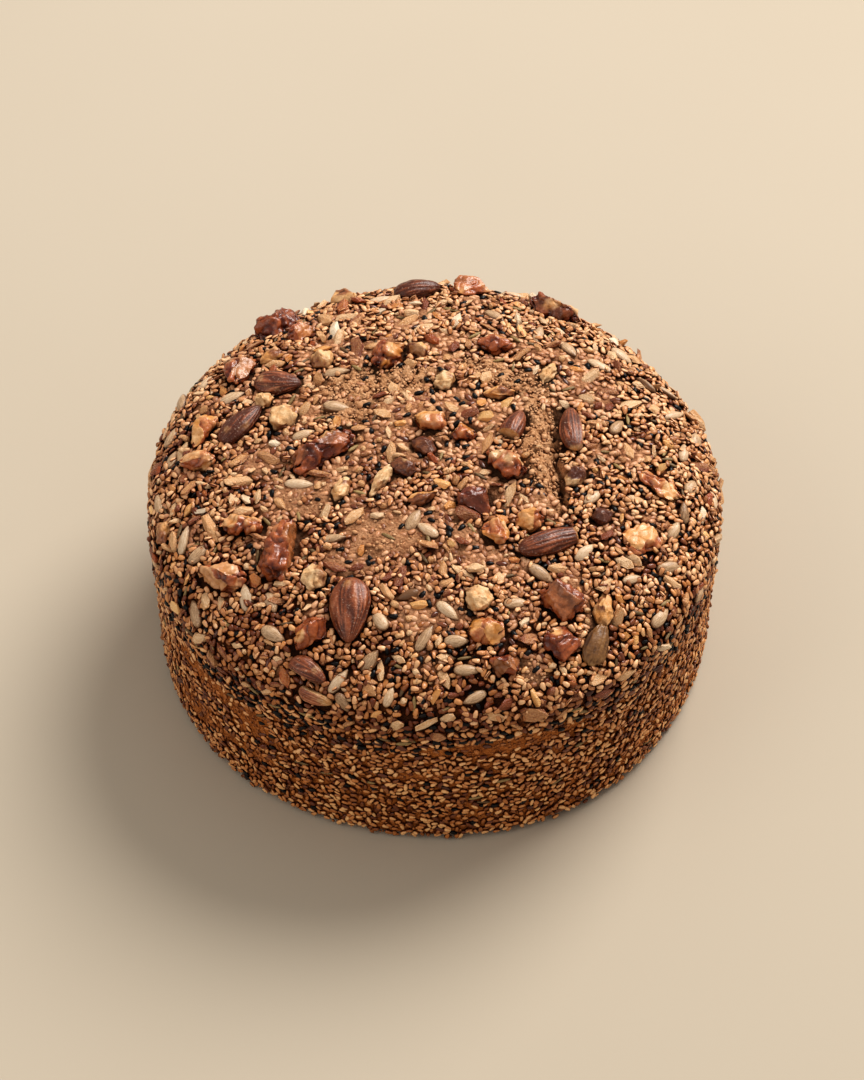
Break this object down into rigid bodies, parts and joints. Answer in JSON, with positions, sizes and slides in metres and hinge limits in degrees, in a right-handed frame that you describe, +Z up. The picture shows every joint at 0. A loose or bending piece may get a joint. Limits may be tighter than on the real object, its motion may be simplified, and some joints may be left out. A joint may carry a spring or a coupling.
{
  "type": "tea cake",
  "caption": "Round tea cake with a domed, cracked top, covered in sesame and other seeds and set with almonds and walnut pieces.",
  "frame": {"origin": "middle of the flat base, on the surface the cake stands on", "axes": "+Z up through the middle of the dome; -Y faces the viewer, +X to the viewer's right"},
  "size_m": [0.2079, 0.2102, 0.0989],
  "materials": {
    "crust": "baked crust under sesame and other seeds, matte and crumbly",
    "almond_skin": "wrinkled brown almond skin, low sheen",
    "walnut_meat": "toasted walnut, oily sheen",
    "nut_chunk": "broken pale nut, low sheen",
    "pumpkin_seed": "toasted pumpkin seed, brown-green, low sheen"
  },
  "bodies": {
    "root": {"cake": "crust", "almond_1": "almond_skin", "almond_2": "almond_skin", "almond_3": "almond_skin", "almond_4": "almond_skin", "almond_5": "almond_skin", "almond_6": "almond_skin", "almond_7": "almond_skin", "almond_8": "almond_skin", "almond_9": "almond_skin", "walnut_1": "walnut_meat", "walnut_2": "walnut_meat", "walnut_3": "walnut_meat", "walnut_4": "walnut_meat", "walnut_5": "walnut_meat", "walnut_6": "walnut_meat", "walnut_7": "walnut_meat", "walnut_8": "walnut_meat", "walnut_9": "walnut_meat", "walnut_10": "walnut_meat", "walnut_11": "walnut_meat", "walnut_12": "walnut_meat", "walnut_13": "walnut_meat", "walnut_14": "walnut_meat", "walnut_15": "walnut_meat", "walnut_16": "walnut_meat", "walnut_17": "walnut_meat", "walnut_18": "walnut_meat", "walnut_19": "walnut_meat", "walnut_20": "walnut_meat", "walnut_21": "walnut_meat", "walnut_22": "walnut_meat", "walnut_23": "walnut_meat", "walnut_24": "walnut_meat", "walnut_25": "walnut_meat", "walnut_26": "walnut_meat", "chunk_1": "nut_chunk", "chunk_2": "nut_chunk", "chunk_3": "nut_chunk", "chunk_4": "nut_chunk", "chunk_5": "nut_chunk", "chunk_6": "nut_chunk", "chunk_7": "nut_chunk", "chunk_8": "nut_chunk", "chunk_9": "nut_chunk", "chunk_10": "nut_chunk", "chunk_11": "nut_chunk", "chunk_12": "nut_chunk", "chunk_13": "nut_chunk", "chunk_14": "nut_chunk", "chunk_15": "nut_chunk", "chunk_16": "nut_chunk", "chunk_17": "nut_chunk", "chunk_18": "nut_chunk", "chunk_19": "nut_chunk", "chunk_20": "nut_chunk", "pumpkin_seed": "pumpkin_seed"}
  },
  "joints": []
}
